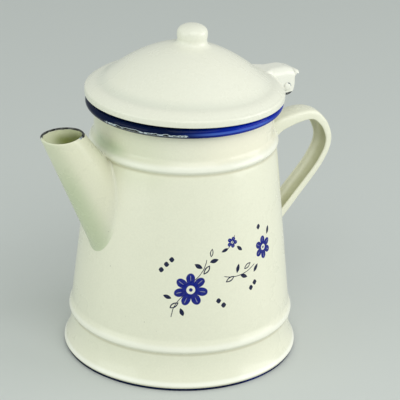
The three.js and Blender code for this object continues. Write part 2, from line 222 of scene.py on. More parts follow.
# a pale painted highlight on the rim roll
COBALT_HIGHLIGHT = (0.10, 0.20, 0.66)
# the seam's dark blue, made near black as painted contact shadow as well
SEAM_BLUE = (0.002, 0.004, 0.03)
INK = (0.001, 0.006, 0.17)
INK_PALE = (0.001, 0.011, 0.23)
INK_DARK = (0.006, 0.010, 0.045)
GROUND_WHITE = (0.50, 0.57, 0.61)

# Stains, painted shade and bare metal
# darkening at the foot, and painted shade in the valleys under the beads
STAIN_AND_SHADE = (0.42, 0.36, 0.20)
# painted shade with an olive stain, deep inside the spout
OLIVE_DEEP = (0.30, 0.36, 0.08)
# coffee stain and painted shade in the handle's channel
COFFEE_STAIN_AND_SHADE = (0.27, 0.275, 0.055)
DIRT = (0.10, 0.08, 0.05)
RUST = (0.12, 0.05, 0.022)
BARE_STEEL = (0.16, 0.165, 0.16)
DARK_STEEL = (0.012, 0.012, 0.011)

# Where the enamel is stained or chipped, and where light and shade are painted on it
PATCH_REACH = radians(23)  # the green patch on the neck above the spout
PATCH_HEIGHT = 0.1375
# height of the painted highlight along the foot's edge
FOOT_HIGHLIGHT_HEIGHT = FOOT_HEIGHT + 0.001
SHADE_MIDDLE = radians(-175)  # direction round which the blue is darkened by painted shade
RIM_HIGHLIGHT_HEIGHT = RIM_HEIGHT - 0.0001  # a painted highlight runs along the roll's outermost line
CHIPPED_MIDDLE = radians(-148)  # direction in which the rim is chipped most
BUMP_DEPTH = 0.0003
COAT_ROUGHNESS = 0.12


# ---- Camera, lamps and floor

def placed(name, data):
    """A new object of the scene that carries the data."""
    thing = bpy.data.objects.new(name, data)
    bpy.context.scene.collection.objects.link(thing)
    return thing


def mesh_of(name, bm):
    mesh = bpy.data.meshes.new(name)
    bm.to_mesh(mesh)
    bm.free()
    return mesh


def place_camera():
    level = cos(CAMERA_ELEVATION)
    away = Vector((
        sin(CAMERA_AZIMUTH) * level, -cos(CAMERA_AZIMUTH) * level, sin(CAMERA_ELEVATION)))
    data = bpy.data.cameras.new("photo_camera")
    data.lens, data.sensor_width = CAMERA_LENS, CAMERA_SENSOR
    data.shift_x, data.shift_y = CAMERA_SHIFT
    camera = placed("photo_camera", data)
    camera.location = CAMERA_TARGET + away * CAMERA_DISTANCE
    turn = away.to_track_quat("Z", "Y") @ Quaternion((0, 0, 1), CAMERA_ROLL)
    camera.rotation_euler = turn.to_euler()
    bpy.context.scene.camera = camera


def light_studio():
    for name, (place, size, watts, tint) in LAMPS.items():
        data = bpy.data.lights.new(name, "AREA")
        data.shape = "RECTANGLE"
        data.size, data.size_y = size
        data.energy, data.color = watts, tint
        lamp = placed(name, data)
        lamp.location = place
        lamp.rotation_euler = (Vector(place) - LAMP_AIM).to_track_quat("Z", "Y").to_euler()
    world = bpy.data.worlds.new("studio_air")
    world.use_nodes = True
    air = world.node_tree.nodes["Background"].inputs
    air["Color"].default_value = (*AIR, 1)
    air["Strength"].default_value = AIR_STRENGTH
    bpy.context.scene.world = world


def lay_floor():
    bm = bmesh.new()
    bmesh.ops.create_grid(bm, x_segments=1, y_segments=1, size=FLOOR_SIZE)
    mesh = mesh_of("studio_floor", bm)
    paint = bpy.data.materials.new("studio_floor")
    paint.use_nodes = True
    shader = paint.node_tree.nodes["Principled BSDF"].inputs
    shader["Base Color"].default_value = (*FLOOR, 1)
    shader["Roughness"].default_value = 0.8
    mesh.materials.append(paint)
    placed("studio_floor", mesh)


# ---- Shader helpers

class Graph:
    """Short ways to add and join the nodes of one material or node group.

    where is the socket with the place that its patterns are laid out by.
    """

    def __init__(self, tree, where=None):
        self.tree, self.where = tree, where

    def node(self, kind, *values, **named):
        """Small first letters name the node's settings, capital ones its inputs."""
        node = self.tree.nodes.new(kind)
        for key in [key for key in named if key[0].islower()]:
            setattr(node, key, named.pop(key))
        for key, value in [*enumerate(values), *named.items()]:
            self.feed(node.inputs[key.replace("_", " ") if isinstance(key, str) else key], value)
        return node

    def feed(self, socket, value):
        if isinstance(value, bpy.types.NodeSocket):
            self.tree.links.new(value, socket)
        elif value is not None:
            socket.default_value = (*value, 1) if socket.type == "RGBA" else value

    def math(self, operation, *values, clamp=False):
        return self.node("ShaderNodeMath", *values, operation=operation, use_clamp=clamp).outputs[0]

    def plus(self, first, second):
        return self.math("ADD", first, second)

    def minus(self, first, second):
        return self.math("SUBTRACT", first, second)

    def scaled(self, value, factor, shift):
        return self.math("MULTIPLY_ADD", value, factor, shift)

    def product(self, first, *values):
        for value in values:
            first = self.math("MULTIPLY", first, value)
        return first

    def apart(self, value, middle):
        """How far the value is from the middle."""
        return self.math("ABSOLUTE", self.minus(value, middle))

    def turned(self, angle, middle):
        """How far the angle is turned from the middle, either way round."""
        return self.math("ABSOLUTE", self.math("WRAP", self.minus(angle, middle), pi, -pi))

    def length(self, across, up):
        return self.math("SQRT", self.plus(self.product(across, across), self.product(up, up)))

    def span(self, value, low, high, to_low=0.0, to_high=1.0):
        """A smooth step of the value from low to high."""
        return self.node("ShaderNodeMapRange", value, low, high, to_low, to_high,
                         interpolation_type="SMOOTHSTEP").outputs[0]

    def fall(self, value, low, high):
        """1 up to low, a smooth step down and 0 from high on."""
        return self.span(value, low, high, 1.0, 0.0)

    def blend(self, share, first, second, how="MIX"):
        node = self.node("ShaderNodeMix", share, data_type="RGBA", blend_type=how)
        self.feed(node.inputs[6], first)
        self.feed(node.inputs[7], second)
        return node.outputs[2]

    def noise(self, scale, detail=2.0, roughness=0.5, distortion=0.0):
        return self.node("ShaderNodeTexNoise", Vector=self.where, Scale=scale, Detail=detail,
                         Roughness=roughness, Distortion=distortion).outputs[0]

    def parts(self):
        return self.node("ShaderNodeSeparateXYZ", self.where).outputs

    def group(self, group, **values):
        return self.node("ShaderNodeGroup", node_tree=group, **values).outputs


def node_group(name, inputs, outputs):
    """An empty shader group with named sockets; gives its graph, its inputs and its outputs."""
    group = bpy.data.node_groups.new(name, "ShaderNodeTree")
    kinds = {"number": "NodeSocketFloat", "colour": "NodeSocketColor", "place": "NodeSocketVector"}
    for side, sockets in (("INPUT", inputs), ("OUTPUT", outputs)):
        for kind, names in sockets.items():
            for key in names.split(", "):
                group.interface.new_socket(key, in_out=side, socket_type=kinds[kind])
    entry = group.nodes.new("NodeGroupInput")
    leave = group.nodes.new("NodeGroupOutput")
    return Graph(group, entry.outputs.get("Where")), entry.outputs, leave.inputs


# ---- Shared effects

def make_enamel_film():
    """Fired enamel: clouds of tone, a few specks of dirt, a faint ripple and worn gloss."""
    g, given, out = node_group(
        "enamel_film",
        {"place": "Where", "colour": "Colour, Cloud Colour",
         "number": "Cloud, Speck, Gloss, Ripple"},
        {"colour": "Colour", "number": "Roughness, Height"})
    cloud = g.span(g.noise(14.0, 3.0, 0.55), 0.38, 0.68)
    colour = g.blend(g.product(cloud, given["Cloud"]), given["Colour"], given["Cloud Colour"])
    fine = g.span(g.noise(900.0, 1.0), 0.3, 0.7, 0.985, 1.01)
    tone = g.node("ShaderNodeCombineColor", fine, fine, fine).outputs[0]
    colour = g.blend(1.0, colour, tone, "MULTIPLY")
    grain = g.node("ShaderNodeTexVoronoi", Vector=g.where, Scale=120.0, Randomness=1.0)
    spot = g.fall(grain.outputs["Distance"], 0.035, 0.06)
    rare = g.span(g.noise(31.0, 0.0), 0.62, 0.70)
    speck = g.product(spot, rare, given["Speck"])
    g.feed(out["Colour"], g.blend(speck, colour, DIRT))
    worn = g.span(g.noise(55.0, 4.0, 0.6), 0.35, 0.75)
    rough = g.scaled(worn, 0.07, given["Gloss"])
    g.feed(out["Roughness"], g.scaled(speck, 0.3, rough))
    ripple, drift = g.noise(240.0, 1.0), g.noise(38.0, 1.0)
    height = g.scaled(drift, 0.6, g.product(ripple, 0.12))
    height = g.product(height, given["Ripple"])
    g.feed(out["Height"], g.minus(height, g.product(speck, 0.5)))
    return g.tree


def make_chips():
    """Enamel broken off an edge: white ground coat round bare dark steel."""
    g, given, out = node_group(
        "chips",
        {"place": "Where", "colour": "Colour", "number": "Mask, Scale, Ground, Roughness, Height"},
        {"colour": "Colour", "number": "Roughness, Metallic, Height"})
    rough_edge = g.scaled(g.noise(1500.0, 2.0), 0.10, -0.05)
    field = g.plus(g.noise(given["Scale"], 3.0, 0.62, 0.4), rough_edge)
    level = g.plus(field, g.scaled(given["Mask"], 0.62, -0.62))
    ground = g.span(level, 0.44, 0.46)
    bare = g.span(g.minus(level, given["Ground"]), 0.45, 0.48)
    tint = g.span(g.noise(700.0, 2.0), 0.35, 0.65)
    colour = g.blend(ground, given["Colour"], GROUND_WHITE)
    g.feed(out["Colour"], g.blend(bare, colour, g.blend(tint, DARK_STEEL, BARE_STEEL)))
    rough = g.scaled(ground, 0.25, given["Roughness"])
    g.feed(out["Roughness"], g.scaled(bare, 0.12, rough))
    g.feed(out["Metallic"], g.product(bare, 0.75))
    sunk = g.plus(ground, bare)
    g.feed(out["Height"], g.scaled(sunk, -0.9, given["Height"]))
    return g.tree


def mark_group(name, numbers):
    """A group for one kind of printed mark, with the place measured from the mark's centre."""
    g, given, out = node_group(
        name, {"number": "Across, Up, Centre Across, Centre Up, " + numbers}, {"number": "Ink"})
    across = g.minus(given["Across"], given["Centre Across"])
    up = g.minus(given["Up"], given["Centre Up"])
    return g, given, out, across, up


def make_blossom():
    """Painted blossom of narrow petals round a bare eye with a dot in it."""
    g, given, out, across, up = mark_group("blossom", "Radius, Turn, Petals")
    across = g.math("DIVIDE", across, given["Radius"])
    up = g.math("DIVIDE", up, given["Radius"])
    reach = g.length(across, up)
    angle = g.plus(g.math("ARCTAN2", up, across), given["Turn"])
    half = g.product(angle, given["Petals"], 0.5)
    lobe = g.math("POWER", g.math("ABSOLUTE", g.math("COSINE", half)), 0.6)
    edge = g.scaled(lobe, 0.52, 0.48)
    petal = g.span(g.minus(edge, reach), -0.03, 0.03)
    vein_turn = g.math("ABSOLUTE", g.math("SINE", half))
    vein = g.product(
        g.fall(vein_turn, 0.05, 0.12), g.span(reach, 0.50, 0.60), g.fall(reach, 0.80, 0.90))
    eye = g.span(reach, 0.235, 0.275)
    dot = g.fall(reach, 0.09, 0.13)
    ink = g.product(petal, g.minus(1.0, g.product(vein, 0.35)), eye)
    g.feed(out["Ink"], g.math("MAXIMUM", ink, dot))
    return g.tree


def make_leaf():
    """Painted leaf, a pointed lens; equal length and width give a round dot."""
    g, given, out, across, up = mark_group("leaf", "Length, Width, Turn, Open")
    c, s = g.math("COSINE", given["Turn"]), g.math("SINE", given["Turn"])
    along = g.plus(g.product(across, c), g.product(up, s))
    aside = g.minus(g.product(up, c), g.product(across, s))
    along = g.math("DIVIDE", along, given["Length"])
    aside = g.math("DIVIDE", g.math("ABSOLUTE", aside), given["Width"])
    inside = g.minus(g.minus(1.0, g.product(along, along)), aside)
    hollow = g.product(g.span(inside, 0.46, 0.60), given["Open"])
    g.feed(out["Ink"], g.math("SUBTRACT", g.span(inside, -0.08, 0.08), hollow, clamp=True))
    return g.tree


def make_stem():
    """Painted stem, a thin stretch of a round arc."""
    g, given, out, across, up = mark_group("stem", "Radius, Thickness, Middle, Half")
    angle = g.turned(g.math("ARCTAN2", up, across), given["Middle"])
    within = g.span(g.minus(given["Half"], angle), -0.02, 0.02)
    off = g.apart(g.length(across, up), given["Radius"])
    line = g.fall(g.math("DIVIDE", off, given["Thickness"]), 0.4, 0.6)
    g.feed(out["Ink"], g.product(line, within))
    return g.tree


ENAMEL_FILM = make_enamel_film()
CHIPS = make_chips()
BLOSSOM = make_blossom()
LEAF = make_leaf()
STEM = make_stem()


# ---- Materials

class Paint(Graph):
    """The graph of one material, with the effects that several materials share."""

    def __init__(self, name):
        self.material = bpy.data.materials.new(name)
        self.material.use_nodes = True
        super().__init__(self.material.node_tree)
        self.where = self.node("ShaderNodeTexCoord").outputs["Object"]
        self.shader = self.tree.nodes["Principled BSDF"].inputs

    def polar(self):
        """Angle round the pot, distance from its axis and height."""
        x, y, z = self.parts()
        return self.math("ARCTAN2", y, x), self.length(x, y), z

    def film(self, colour, cloud, speck, gloss, ripple, clouded=CREAM_WARM):
        return self.group(ENAMEL_FILM, Where=self.where, Colour=colour, Cloud_Colour=clouded,
                          Cloud=cloud, Speck=speck, Gloss=gloss, Ripple=ripple)

    def hollow_stain_and_shade(self, colour, stain, depth):
        """The colour stained, and painted with light and shade, where the piece's own mesh says
        that it is hollow.
        """
        hollow = self.node("ShaderNodeAttribute", attribute_name="hollow").outputs["Fac"]
        patchy = self.span(self.noise(95.0, 3.0, 0.6), 0.25, 0.7, 0.72, 1.0)
        return self.blend(self.product(hollow, patchy, depth), colour, stain)

    def relief(self, strength, height):
        bump = self.node("ShaderNodeBump", Strength=strength, Distance=BUMP_DEPTH, Height=height)
        self.feed(self.shader["Normal"], bump.outputs[0])

    def finish(self, colour, coat, shine=0.35):
        """Feeds the shader from a coat, a film or chips, with a colour of its own."""
        self.feed(self.shader["Base Color"], colour)
        self.feed(self.shader["Roughness"], coat["Roughness"])
        self.feed(self.shader["Metallic"], coat.get("Metallic"))
        self.relief(0.3, coat["Height"])
        self.shader["Specular IOR Level"].default_value = shine
        self.shader["Coat Weight"].default_value = 0.3 * shine
        self.shader["Coat Roughness"].default_value = COAT_ROUGHNESS
        return self.material

    def finish_chipped(self, film, colour, mask, scale, ground, shine=0.35):
        """Breaks the enamel off where the mask says, then feeds the shader."""
        chips = self.group(CHIPS, Where=self.where, Mask=mask, Scale=scale, Ground=ground,
                           Colour=colour, Roughness=film["Roughness"], Height=film["Height"])
        return self.finish(chips["Colour"], chips, shine)


def cream_enamel(name, cloud, speck, gloss, colour=CREAM, clouded=CREAM_WARM, ripple=0.7):
    g = Paint(name)
    film = g.film(colour, cloud, speck, gloss, ripple, clouded)
    return g.finish(film["Colour"], film)


def handle_enamel():
    """Cream enamel that coffee has stained in the strap's channel, with painted shade there too,
    most on its near side.
    """
    g = Paint("handle_enamel")
    film = g.film(CREAM, 0.5, 0.4, 0.26, 0.7)
    return g.finish(g.hollow_stain_and_shade(film["Colour"], COFFEE_STAIN_AND_SHADE, 0.85), film)


# ---- Print

PRINT_ANGLE = radians(-118)  # direction from the axis that the print is centred on
PRINT_RADIUS = 0.0625

# Places in millimetres, across from the print's middle and up from the table.
BLOSSOMS = [(0.0, 62.0, 10.0, 0.2, 7), (50.5, 79.0, 7.0, 0.5, 6), (26.0, 88.0, 3.4, 0.1, 5)]
LEAVES = [
    (9.5, 73.5, 3.2, 1.5, 55, 1), (4.5, 76.0, 2.8, 1.3, 150, 0), (14.0, 78.5, 2.9, 1.3, 10, 0),
    (12.5, 83.5, 2.6, 1.1, 80, 1), (-9.5, 52.5, 3.1, 1.5, 215, 1), (-13.5, 57.5, 2.6, 1.2, 160, 0),
    (-5.0, 48.5, 2.6, 1.2, 290, 0), (24.0, 66.0, 3.2, 1.4, 25, 1), (29.5, 71.5, 2.8, 1.2, 75, 0),
    (33.5, 66.0, 2.8, 1.2, 335, 0), (36.5, 71.5, 3.0, 1.3, 30, 1), (21.0, 84.0, 2.4, 1.0, 200, 0),
    (31.0, 83.5, 2.5, 1.1, 320, 0), (43.0, 68.5, 2.7, 1.2, 230, 0), (56.0, 88.0, 2.6, 1.2, 70, 0),
]
DOTS = [
    (-14.5, 77.0), (-17.5, 73.5), (-11.5, 80.0), (16.5, 54.0), (19.5, 51.0), (38.5, 57.5),
    (41.5, 60.0), (47.0, 92.5),
]
DOT_RADIUS = 1.6
STEMS = [
    (-8.0, 82.0, 17.5, 0.46, -48, 40), (8.0, 44.0, 19.0, 0.46, 152, 24),
    (28.0, 92.0, 25.0, 0.46, -82, 26), (14.0, 96.0, 14.5, 0.42, -40, 24),
]


def print_ink(g):
    """Masks of the sprig print: the blossoms, and the leaves, stems and dots."""
    angle, reach, height = g.polar()
    off = g.math("WRAP", g.minus(angle, PRINT_ANGLE), pi, -pi)
    shaky = g.scaled(g.noise(260.0, 2.0), 1.0, -0.5)
    across = g.scaled(shaky, 0.7, g.product(off, PRINT_RADIUS * 1000))
    up = g.product(height, 1000)

    def mark(kind, centre, **form):
        return g.group(kind, Across=across, Up=up, Centre_Across=centre[0], Centre_Up=centre[1],
                       **form)[0]

    blooms = [mark(BLOSSOM, centre, Radius=radius, Turn=turn, Petals=petals)
              for *centre, radius, turn, petals in BLOSSOMS]
    marks = [mark(LEAF, centre, Length=length, Width=width, Turn=radians(turn), Open=hollow)
             for *centre, length, width, turn, hollow in LEAVES]
    marks += [mark(LEAF, centre, Length=DOT_RADIUS, Width=DOT_RADIUS) for centre in DOTS]
    marks += [mark(STEM, centre, Radius=radius, Thickness=thickness, Middle=radians(middle),
                   Half=radians(half)) for *centre, radius, thickness, middle, half in STEMS]
    outside = g.span(reach, PRINT_RADIUS - 0.006, PRINT_RADIUS - 0.005)
    return [g.product(reduce(lambda one, other: g.math("MAXIMUM", one, other), masks), outside)
            for masks in (blooms, marks)]


# ---- Enamel of the body and the rim

def body_enamel():
    """Cream enamel with the blue print low on the side, darker towards the foot, a green patch on
    the neck, and painted light and shade.
    """
    g = Paint("body_enamel")
    film = g.film(CREAM, 0.6, 0.35, 0.26, 1.0)
    bloom, sprig = print_ink(g)
    faded = g.span(g.noise(420.0, 3.0, 0.6), 0.25, 0.75, 0.97, 1.0)
    patchy = g.blend(g.span(g.noise(600.0, 2.0), 0.35, 0.7), INK, INK_PALE)
    angle, _, height = g.polar()
    behind = g.turned(angle, pi)
    layers = [
        (g.product(sprig, faded), INK_DARK),
        (g.product(bloom, faded), patchy),
        # darker towards the bottom of the foot
        (g.product(g.fall(height, WALL_BASE, FOOT_HIGHLIGHT_HEIGHT), 0.15), STAIN_AND_SHADE),
        # a painted highlight along the foot's edge
        (g.span(g.apart(height, FOOT_HIGHLIGHT_HEIGHT), 0.0003, 0.0022, 0.7, 0.0), PAINTED_HIGHLIGHT),
        # painted shade with a green reflection on the spout's side of the upper wall and neck
        (g.product(g.span(behind, 0.5, 1.05, 0.4, 0.0),
                   g.span(height, UPPER_BEAD_HEIGHT - 0.02, UPPER_BEAD_HEIGHT)), CREAM_GREEN),
        # painted light: the neck paler away from the spout
        (g.product(g.span(height, UPPER_BEAD_HEIGHT + 0.001, UPPER_BEAD_HEIGHT + UPPER_BEAD_FADE),
                   g.span(behind, 0.8, 1.6, 0.0, 0.8)), NECK_PAINTED_LIGHT),
        (g.product(g.span(behind, 0.12, PATCH_REACH, 0.75, 0.0),
                   g.fall(g.apart(height, PATCH_HEIGHT), 0.0, 0.008)), PATCH_GREEN),
    ]
    for bead_height in (LOWER_BEAD_HEIGHT, UPPER_BEAD_HEIGHT):
        valley = g.apart(height, bead_height - BEAD_STEP_HEIGHT)
        crown = g.apart(height, bead_height + 0.0006)
        # painted shade in the valley under the bead
        layers.append((g.span(valley, 0.0, 0.0014, 0.32, 0.0), STAIN_AND_SHADE))
        # a painted highlight on the bead's crown
        layers.append((g.span(crown, 0.0008, 0.0034, 0.5, 0.0), PAINTED_HIGHLIGHT))
    colour = film["Colour"]
    for share, tint in layers:
        colour = g.blend(share, colour, tint)
    g.finish(colour, film, 0.14)
    inked = g.math("MAXIMUM", bloom, sprig)
    g.feed(g.shader["Coat Weight"], g.scaled(inked, -0.4, 0.4))
    return g.material


def blue_enamel(name, colour, mask_of, chip_scale, ground):
    """Cobalt enamel with painted shade, nearly black, round one side and a pale painted highlight
    along the rim roll's outermost line.
    """
    g = Paint(name)
    angle, _, height = g.polar()
    off = g.turned(angle, SHADE_MIDDLE)
    # painted shade round one side
    shaded = g.fall(off, radians(42), radians(88))
    # a painted highlight along the roll's outermost line
    highlight = g.product(g.span(g.apart(height, RIM_HIGHLIGHT_HEIGHT), 0.0003, 0.0011, 0.62, 0.0),
                     g.fall(shaded, 0.35, 1.0),
                     g.span(off, radians(100), radians(118), 1.0, 0.1))
    blue = g.blend(highlight, g.blend(shaded, colour, COBALT_SHADE), COBALT_HIGHLIGHT)
    clouded = g.blend(shaded, COBALT_LIGHT, COBALT_SHADE)
    film = g.film(blue, 0.35, 0.0, 0.07, 0.6, clouded)
    return g.finish_chipped(film, film["Colour"], mask_of(g, angle, height), chip_scale, ground,
                            0.07)


def rim_wear(g, angle, height):
    """Chips lie where the rim bulges out most, nearly all on the spout's side."""
    return g.product(g.span(height, RIM_HEIGHT - 0.0026, RIM_HEIGHT - 0.0012),
                     g.fall(height, RIM_HEIGHT - 0.0009, RIM_HEIGHT + 0.0016),
                     g.span(g.turned(angle, CHIPPED_MIDDLE), radians(14), radians(44), 1.15, 0.45))


def seam_wear(g, angle, height):
    """The seam is scuffed where it stands on the table."""
    return g.product(g.fall(height, 0.0, 0.0007), 0.9)


def steel(name):
    """Bare steel, stained and a little rusty."""
    g = Paint(name)
    stain = g.span(g.noise(320.0, 4.0, 0.6), 0.35, 0.7)
    rust = g.span(g.noise(150.0, 4.0, 0.65), 0.56, 0.68)
    base = g.blend(stain, BARE_STEEL, DARK_STEEL)
    g.feed(g.shader["Base Color"], g.blend(g.product(rust, 0.8), base, RUST))
    g.feed(g.shader["Metallic"], g.scaled(rust, -0.8, 0.9))
    g.feed(g.shader["Roughness"], g.scaled(stain, 0.2, 0.42))
    g.relief(0.4, g.noise(500.0, 3.0))
    return g.material


# ---- Mesh helpers

def shares(steps):
    """Even shares of a way, from 0 to 1."""
    return [i / steps for i in range(steps + 1)]


def eased(share):
    """Falls softly from 1 to 0."""
    return (1 + cos(pi * share)) / 2


def arc(centre, radius, start, end, steps):
    """Points on a round arc in the outline's plane, angles in degrees."""
    turns = [radians(start + (end - start) * share) for share in shares(steps)]
    return [(centre[0] + radius * cos(t), centre[1] + radius * sin(t)) for t in turns]


def button(radius, height):
    """Radii and heights of a round head, from beside its middle out to its edge."""
    turns = [pi / 2 * share for share in shares(8)[1:]]
    return [(radius * sin(turn), height * cos(turn)) for turn in turns]


def swept(start, corner, end, steps):
    """Points on a smooth curve that leaves start and reaches end along the lines to the corner."""
    start, corner, end = Vector(start), Vector(corner), Vector(end)
    return [start.lerp(corner, share).lerp(corner.lerp(end, share), share)
            for share in shares(steps)]


def rounded(outline, reach, steps=5):
    """The outline with its corners turned on curves that start reach before them."""
    smooth = [Vector(outline[0])]
    for before, corner, after in zip(outline, outline[1:], outline[2:]):
        corner = Vector(corner)
        ends = [corner + way.normalized() * min(reach, way.length / 2)
                for way in (Vector(before) - corner, Vector(after) - corner)]
        smooth += swept(ends[0], corner, ends[1], steps)
    return [*smooth, Vector(outline[-1])]


def shifted(outline, distance):
    """The outline moved sideways, to the left of its direction."""
    moved = []
    for i, point in enumerate(outline):
        before = Vector(outline[max(i - 1, 0)])
        after = Vector(outline[min(i + 1, len(outline) - 1)])
        along = (after - before).normalized()
        moved.append((point[0] - along.y * distance, point[1] + along.x * distance))
    return moved


def read_off(outline, place):
    """An outline's second coordinate at a place along its first, level beyond its ends."""
    for low, high in zip(outline, outline[1:]):
        if low[0] <= place <= high[0] and high[0] > low[0]:
            return low[1] + (high[1] - low[1]) * (place - low[0]) / (high[0] - low[0])
    return outline[0 if place < outline[0][0] else -1][1]


def spun(outline, steps=ROUND_STEPS):
    """A form turned about +Z from radii and heights; an outline off the axis is closed first."""
    bm = bmesh.new()
    verts = [bm.verts.new((radius, 0, height)) for radius, height in outline]
    edges = [bm.edges.new(pair) for pair in zip(verts, verts[1:])]
    if outline[0][0] > 0:
        edges.append(bm.edges.new((verts[-1], verts[0])))
    bmesh.ops.spin(bm, geom=verts + edges, cent=(0, 0, 0), axis=(0, 0, 1), angle=2 * pi,
                   steps=steps, use_merge=True)
    bmesh.ops.remove_doubles(bm, verts=bm.verts, dist=1e-6)
    return bm


def bent_grid(columns, rows, place, hollow=None):
    """A grid whose points go where place(u, v) says, u and v from 0 to 1, welded where it meets.

    hollow(u, v) marks the points that lie inside a hollow, from 0 to 1.
    """
    bm = bmesh.new()
    bmesh.ops.create_grid(bm, x_segments=columns, y_segments=rows, size=1)
    layer = bm.verts.layers.float.new("hollow") if hollow else None
    for vert in bm.verts:
        u, v = (vert.co.x + 1) / 2, (vert.co.y + 1) / 2
        vert.co = place(u, v)
        if hollow:
            vert[layer] = hollow(u, v)
    bmesh.ops.remove_doubles(bm, verts=bm.verts, dist=1e-6)
    return bm


def piece(name, bm, body, slot, material, *nodes, sharp=40):
    """Makes the shape a piece that rides on a body and stands for its CAD nodes."""
    bmesh.ops.recalc_face_normals(bm, faces=bm.faces)
    for face in bm.faces:
        face.smooth = True
    mesh = mesh_of(name, bm)
    mesh.set_sharp_from_angle(angle=radians(sharp))
    mesh.materials.append(material)
    made = placed(name, mesh)
    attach(made, body)
    if nodes:
        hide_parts(*nodes)
    return made


# ---- Body

def bead(radius, height, fade, wall):
    """The soft step below a bead, its crown and its run out into the wall above."""
    step = [(radius - BEAD_STEP * eased(share), height - BEAD_STEP_HEIGHT * (1 - share))
            for share in shares(10)]
    run = [(wall + (radius - wall) * eased(share), height + fade * share)
           for share in shares(14)[1:]]
    return step, run


def wall_outline():
    """Outer face of the body from its foot up to the neck."""
    lower_step, lower_run = bead(
        LOWER_BEAD_RADIUS, LOWER_BEAD_HEIGHT, LOWER_BEAD_FADE, CONE_FOOT_RADIUS)
    upper_step, upper_run = bead(
        UPPER_BEAD_RADIUS, UPPER_BEAD_HEIGHT, UPPER_BEAD_FADE, NECK_RADIUS)
    top_radius, top = lower_step[0]
    flare = [(top_radius + (FOOT_RADIUS - top_radius) * (1 - share) ** FLARE_CURVE,
              FOOT_HEIGHT + (top - FOOT_HEIGHT) * share) for share in shares(12)[1:-1]]
    foot = rounded([
        (FOOT_RADIUS - FOOT_TUCK, WALL_BASE), (FOOT_RADIUS, FOOT_HEIGHT), flare[0]], FOOT_BEND)
    root = rounded([flare[-1], lower_step[0], lower_step[2]], LOWER_BEAD_ROOT)
    cone_top = (CONE_TOP_RADIUS, UPPER_BEAD_HEIGHT - CONE_TOP_DROP)
    neck_root = rounded([cone_top, upper_step[0], upper_step[2]], UPPER_BEAD_ROOT)
    return [
        *foot, *flare[1:-1], *root, *lower_step[3:], *lower_run,
        *neck_root, *upper_step[3:], *upper_run, (NECK_RADIUS, NECK_TOP),
    ]


WALL = [(radius, height) for radius, height in wall_outline()]
WALL_BY_HEIGHT = [(height, radius) for radius, height in WALL]


def wall_radius(height):
    """Radius of the body's outer face at a height."""
    return read_off(WALL_BY_HEIGHT, height)


def body_piece():
    inner = [(radius, min(max(height, WALL_BASE), NECK_TOP))
             for radius, height in shifted(WALL, SHEET)]
    drill_strainer(piece("body", spun([*WALL, *reversed(inner)]), "pot", "body_enamel",
                         body_enamel(), "body_shell"))


def spout_meets_wall():
    """Height at which the spout's axis meets the wall."""
    return meets_wall(
        lambda z: Vector((MOUTH.x + (MOUTH.z - z) * tan(SPOUT_LEAN), 0, z)), MOUTH.z, SPOUT_LOW)


def drill_strainer(body):
    """Cuts the strainer holes in the wall behind the spout."""
    height = spout_meets_wall()
    out = wall_radius(height)
    across = Matrix.Rotation(pi / 2, 4, "Y")
    bm = bmesh.new()
    for row in range(STRAINER_ROWS):
        holes = 2 + row % 2
        level = height + (row - (STRAINER_ROWS - 1) / 2) * STRAINER_RISE
        for hole in range(holes):
            place = Vector((-out, (hole - (holes - 1) / 2) * STRAINER_PITCH, level))
            bmesh.ops.create_cone(
                bm, cap_ends=True, segments=24, radius1=STRAINER_HOLE, radius2=STRAINER_HOLE,
                depth=STRAINER_DRILL, matrix=Matrix.Translation(place) @ across)
    drills = placed("strainer_drills", mesh_of("strainer_drills", bm))
    cut = body.modifiers.new("strainer", "BOOLEAN")
    cut.operation = "DIFFERENCE"
    cut.object = drills
    cut.solver = "EXACT"
    bpy.context.view_layer.update()
    evaluated = body.evaluated_get(bpy.context.evaluated_depsgraph_get())
    drilled = bpy.data.meshes.new_from_object(evaluated)
    body.modifiers.clear()
    body.data = drilled
    bpy.data.objects.remove(drills)


def bottom_piece():
    ring = SEAM_RADIUS - SEAM_WIDTH
    panel = ring - 2 * PANEL_RECESS
    outline = rounded([
        (0, PANEL_RECESS), (panel, PANEL_RECESS), (ring, 0), (SEAM_RADIUS, 0),
        (SEAM_RADIUS, SEAM_HEIGHT), (ring + SHEET, SEAM_HEIGHT),
        (panel, PANEL_RECESS + SHEET), (0, PANEL_RECESS + SHEET)], SEAM_BEND)
    piece("bottom", spun(outline), "pot", "seam_enamel",
          blue_enamel("seam_enamel", SEAM_BLUE, seam_wear, 260.0, 0.03), "bottom_plate")


def rim_piece():
    """The rolled rim turns out over the wire and back under it."""
    centre = (RIM_RADIUS, RIM_HEIGHT)
    outer = arc(centre, RIM_ROLL, 180, RIM_CURL_END, 40)
    inner = arc(centre, RIM_ROLL - SHEET, RIM_CURL_END, 180, 24)
    piece("rim", spun([*outer, *inner]), "pot", "rim_enamel",
          blue_enamel("rim_enamel", COBALT, rim_wear, 200.0, 0.10), "mouth_rim")


# ---- Spout

WALL_SLOPE = (CONE_FOOT_RADIUS - CONE_TOP_RADIUS) / (
    UPPER_BEAD_HEIGHT - CONE_TOP_DROP - LOWER_BEAD_HEIGHT - LOWER_BEAD_FADE)
WALL_REACH = CONE_FOOT_RADIUS + WALL_SLOPE * (LOWER_BEAD_HEIGHT + LOWER_BEAD_FADE)
SPOUT_DOWN = Vector((sin(SPOUT_LEAN), 0, -cos(SPOUT_LEAN)))
SPOUT_SIDE = Vector((cos(SPOUT_LEAN), 0, sin(SPOUT_LEAN)))


def spout_point(turn, down, inset=0.0):
    """A point of the spout, by its turn round the axis and its distance down from the mouth."""
    depth = MOUTH_DEPTH - inset + down * DEPTH_TAPER
    breadth = MOUTH_BREADTH - inset + down * BREADTH_TAPER
    return (MOUTH + SPOUT_DOWN * down + SPOUT_SIDE * (depth * cos(turn))
            + Vector((0, breadth * sin(turn), 0)))


